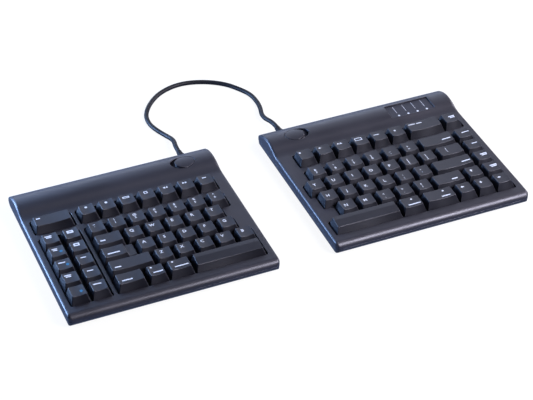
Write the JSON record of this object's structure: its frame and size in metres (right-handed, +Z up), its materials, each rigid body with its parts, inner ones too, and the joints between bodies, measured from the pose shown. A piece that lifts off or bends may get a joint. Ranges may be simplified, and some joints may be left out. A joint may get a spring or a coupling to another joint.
{
  "type": "split keyboard",
  "caption": "Ergonomic split keyboard: two low free-standing modules with sculpted keys and rear humps, joined by one link cable.",
  "frame": {"origin": "on the desk, at the middle of the two modules, the link cable left out", "axes": "+X runs along the keyboard from the left module to the right one, +Y to the rear, +Z up"},
  "size_m": [0.4432, 0.3068, 0.02],
  "materials": {
    "upper_case": "fine matte texture",
    "lower_case": "fine matte texture",
    "keycaps": "satin, moulded",
    "inner_plastic": "moulded",
    "domes": "translucent grey rubber",
    "membrane": "clear film with printed tracks",
    "steel_plate": "zinc plated",
    "board": "solder mask",
    "screws": "black zinc",
    "feet": "matte",
    "grommets": "matte",
    "cable": "smooth jacket",
    "battery": "foil wrap",
    "socket_metal": "plated",
    "clear_plastic": "clear moulded",
    "window": "smoked, gloss"
  },
  "bodies": {
    "left_module": {"left_back_plate": "steel_plate", "left_bottom_case": "lower_case", "left_cable_grommet": "grommets", "left_case_screws": "screws", "left_circuit_board": "board", "left_dome_sheet": "domes", "left_feet": "feet", "left_key_frame": "inner_plastic", "left_membrane": "membrane", "left_oval_cap": "upper_case", "left_top_case": "upper_case", "link_cable": "cable"},
    "right_module": {"right_back_plate": "steel_plate", "right_bottom_case": "lower_case", "right_cable_grommet": "grommets", "right_case_screws": "screws", "right_circuit_board": "board", "right_dome_sheet": "domes", "right_feet": "feet", "right_key_frame": "inner_plastic", "right_membrane": "membrane", "right_oval_cap": "upper_case", "right_top_case": "upper_case", "battery_pack": "battery", "charge_socket": "socket_metal", "switch_body": "inner_plastic", "indicator_lamps": "clear_plastic", "light_pipes": "clear_plastic", "indicator_window": "window"},
    "escape_key": {"escape_key": "keycaps"},
    "left_function_keys": {"left_function_keys": "keycaps"},
    "left_number_keys": {"left_number_keys": "keycaps"},
    "tab_key": {"tab_key": "keycaps"},
    "left_top_letter_keys": {"left_top_letter_keys": "keycaps"},
    "caps_lock_key": {"caps_lock_key": "keycaps"},
    "left_home_letter_keys": {"left_home_letter_keys": "keycaps"},
    "left_shift_key": {"left_shift_key": "keycaps"},
    "left_bottom_letter_keys": {"left_bottom_letter_keys": "keycaps"},
    "left_modifier_keys": {"left_modifier_keys": "keycaps"},
    "left_space_bar": {"left_space_bar": "keycaps"},
    "side_outer_keys": {"side_outer_keys": "keycaps"},
    "side_inner_keys": {"side_inner_keys": "keycaps"},
    "wide_corner_key": {"wide_corner_key": "keycaps"},
    "right_function_keys": {"right_function_keys": "keycaps"},
    "right_wide_function_key": {"right_wide_function_key": "keycaps"},
    "right_number_keys": {"right_number_keys": "keycaps"},
    "backspace_key": {"backspace_key": "keycaps"},
    "right_top_letter_keys": {"right_top_letter_keys": "keycaps"},
    "backslash_key": {"backslash_key": "keycaps"},
    "right_home_letter_keys": {"right_home_letter_keys": "keycaps"},
    "return_key": {"return_key": "keycaps"},
    "right_bottom_letter_keys": {"right_bottom_letter_keys": "keycaps"},
    "right_shift_key": {"right_shift_key": "keycaps"},
    "right_space_bar": {"right_space_bar": "keycaps"},
    "right_modifier_keys": {"right_modifier_keys": "keycaps"},
    "navigation_keys": {"navigation_keys": "keycaps"},
    "arrow_keys": {"arrow_keys": "keycaps"},
    "power_switch": {"power_switch": "inner_plastic"}
  },
  "joints": [
    {"name": "module_slide", "type": "slide", "parent": "left_module", "child": "right_module", "axis": [1, 0, 0], "range_m": [-0.0527, 0.15], "deforming": ["link_cable"]},
    {"name": "escape_key_press", "type": "slide", "parent": "left_module", "child": "escape_key", "axis": [0, 0, -1], "range_m": [0, 0.0035], "stiffness_N_per_m": 130, "springref_m": -0.003, "deforming": ["left_dome_sheet"]},
    {"name": "left_function_keys_press", "type": "slide", "parent": "left_module", "child": "left_function_keys", "axis": [0, 0, -1], "range_m": [0, 0.0035], "stiffness_N_per_m": 780, "springref_m": -0.003, "deforming": ["left_dome_sheet"]},
    {"name": "left_number_keys_press", "type": "slide", "parent": "left_module", "child": "left_number_keys", "axis": [0, 0, -1], "range_m": [0, 0.0035], "stiffness_N_per_m": 910, "springref_m": -0.003, "deforming": ["left_dome_sheet"]},
    {"name": "tab_key_press", "type": "slide", "parent": "left_module", "child": "tab_key", "axis": [0, 0, -1], "range_m": [0, 0.0035], "stiffness_N_per_m": 130, "springref_m": -0.003, "deforming": ["left_dome_sheet"]},
    {"name": "left_top_letter_keys_press", "type": "slide", "parent": "left_module", "child": "left_top_letter_keys", "axis": [0, 0, -1], "range_m": [0, 0.0035], "stiffness_N_per_m": 650, "springref_m": -0.003, "deforming": ["left_dome_sheet"]},
    {"name": "caps_lock_key_press", "type": "slide", "parent": "left_module", "child": "caps_lock_key", "axis": [0, 0, -1], "range_m": [0, 0.0035], "stiffness_N_per_m": 130, "springref_m": -0.003, "deforming": ["left_dome_sheet"]},
    {"name": "left_home_letter_keys_press", "type": "slide", "parent": "left_module", "child": "left_home_letter_keys", "axis": [0, 0, -1], "range_m": [0, 0.0035], "stiffness_N_per_m": 650, "springref_m": -0.003, "deforming": ["left_dome_sheet"]},
    {"name": "left_shift_key_press", "type": "slide", "parent": "left_module", "child": "left_shift_key", "axis": [0, 0, -1], "range_m": [0, 0.0035], "stiffness_N_per_m": 130, "springref_m": -0.003, "deforming": ["left_dome_sheet"]},
    {"name": "left_bottom_letter_keys_press", "type": "slide", "parent": "left_module", "child": "left_bottom_letter_keys", "axis": [0, 0, -1], "range_m": [0, 0.0035], "stiffness_N_per_m": 650, "springref_m": -0.003, "deforming": ["left_dome_sheet"]},
    {"name": "left_modifier_keys_press", "type": "slide", "parent": "left_module", "child": "left_modifier_keys", "axis": [0, 0, -1], "range_m": [0, 0.0035], "stiffness_N_per_m": 390, "springref_m": -0.003, "deforming": ["left_dome_sheet"]},
    {"name": "left_space_bar_press", "type": "slide", "parent": "left_module", "child": "left_space_bar", "axis": [0, 0, -1], "range_m": [0, 0.0035], "stiffness_N_per_m": 130, "springref_m": -0.003, "deforming": ["left_dome_sheet"]},
    {"name": "side_outer_keys_press", "type": "slide", "parent": "left_module", "child": "side_outer_keys", "axis": [0, 0, -1], "range_m": [0, 0.0035], "stiffness_N_per_m": 650, "springref_m": -0.003, "deforming": ["left_dome_sheet"]},
    {"name": "side_inner_keys_press", "type": "slide", "parent": "left_module", "child": "side_inner_keys", "axis": [0, 0, -1], "range_m": [0, 0.0035], "stiffness_N_per_m": 650, "springref_m": -0.003, "deforming": ["left_dome_sheet"]},
    {"name": "wide_corner_key_press", "type": "slide", "parent": "left_module", "child": "wide_corner_key", "axis": [0, 0, -1], "range_m": [0, 0.0035], "stiffness_N_per_m": 130, "springref_m": -0.003, "deforming": ["left_dome_sheet"]},
    {"name": "right_function_keys_press", "type": "slide", "parent": "right_module", "child": "right_function_keys", "axis": [0, 0, -1], "range_m": [0, 0.0035], "stiffness_N_per_m": 780, "springref_m": -0.003, "deforming": ["right_dome_sheet"]},
    {"name": "right_wide_function_key_press", "type": "slide", "parent": "right_module", "child": "right_wide_function_key", "axis": [0, 0, -1], "range_m": [0, 0.0035], "stiffness_N_per_m": 130, "springref_m": -0.003, "deforming": ["right_dome_sheet"]},
    {"name": "right_number_keys_press", "type": "slide", "parent": "right_module", "child": "right_number_keys", "axis": [0, 0, -1], "range_m": [0, 0.0035], "stiffness_N_per_m": 780, "springref_m": -0.003, "deforming": ["right_dome_sheet"]},
    {"name": "backspace_key_press", "type": "slide", "parent": "right_module", "child": "backspace_key", "axis": [0, 0, -1], "range_m": [0, 0.0035], "stiffness_N_per_m": 130, "springref_m": -0.003, "deforming": ["right_dome_sheet"]},
    {"name": "right_top_letter_keys_press", "type": "slide", "parent": "right_module", "child": "right_top_letter_keys", "axis": [0, 0, -1], "range_m": [0, 0.0035], "stiffness_N_per_m": 910, "springref_m": -0.003, "deforming": ["right_dome_sheet"]},
    {"name": "backslash_key_press", "type": "slide", "parent": "right_module", "child": "backslash_key", "axis": [0, 0, -1], "range_m": [0, 0.0035], "stiffness_N_per_m": 130, "springref_m": -0.003, "deforming": ["right_dome_sheet"]},
    {"name": "right_home_letter_keys_press", "type": "slide", "parent": "right_module", "child": "right_home_letter_keys", "axis": [0, 0, -1], "range_m": [0, 0.0035], "stiffness_N_per_m": 780, "springref_m": -0.003, "deforming": ["right_dome_sheet"]},
    {"name": "return_key_press", "type": "slide", "parent": "right_module", "child": "return_key", "axis": [0, 0, -1], "range_m": [0, 0.0035], "stiffness_N_per_m": 130, "springref_m": -0.003, "deforming": ["right_dome_sheet"]},
    {"name": "right_bottom_letter_keys_press", "type": "slide", "parent": "right_module", "child": "right_bottom_letter_keys", "axis": [0, 0, -1], "range_m": [0, 0.0035], "stiffness_N_per_m": 650, "springref_m": -0.003, "deforming": ["right_dome_sheet"]},
    {"name": "right_shift_key_press", "type": "slide", "parent": "right_module", "child": "right_shift_key", "axis": [0, 0, -1], "range_m": [0, 0.0035], "stiffness_N_per_m": 130, "springref_m": -0.003, "deforming": ["right_dome_sheet"]},
    {"name": "right_space_bar_press", "type": "slide", "parent": "right_module", "child": "right_space_bar", "axis": [0, 0, -1], "range_m": [0, 0.0035], "stiffness_N_per_m": 130, "springref_m": -0.003, "deforming": ["right_dome_sheet"]},
    {"name": "right_modifier_keys_press", "type": "slide", "parent": "right_module", "child": "right_modifier_keys", "axis": [0, 0, -1], "range_m": [0, 0.0035], "stiffness_N_per_m": 260, "springref_m": -0.003, "deforming": ["right_dome_sheet"]},
    {"name": "navigation_keys_press", "type": "slide", "parent": "right_module", "child": "navigation_keys", "axis": [0, 0, -1], "range_m": [0, 0.0035], "stiffness_N_per_m": 650, "springref_m": -0.003, "deforming": ["right_dome_sheet"]},
    {"name": "arrow_keys_press", "type": "slide", "parent": "right_module", "child": "arrow_keys", "axis": [0, 0, -1], "range_m": [0, 0.0035], "stiffness_N_per_m": 520, "springref_m": -0.003, "deforming": ["right_dome_sheet"]},
    {"name": "power_switch_slide", "type": "slide", "parent": "right_module", "child": "power_switch", "axis": [1, 0, 0], "range_m": [0, 0.003]}
  ]
}
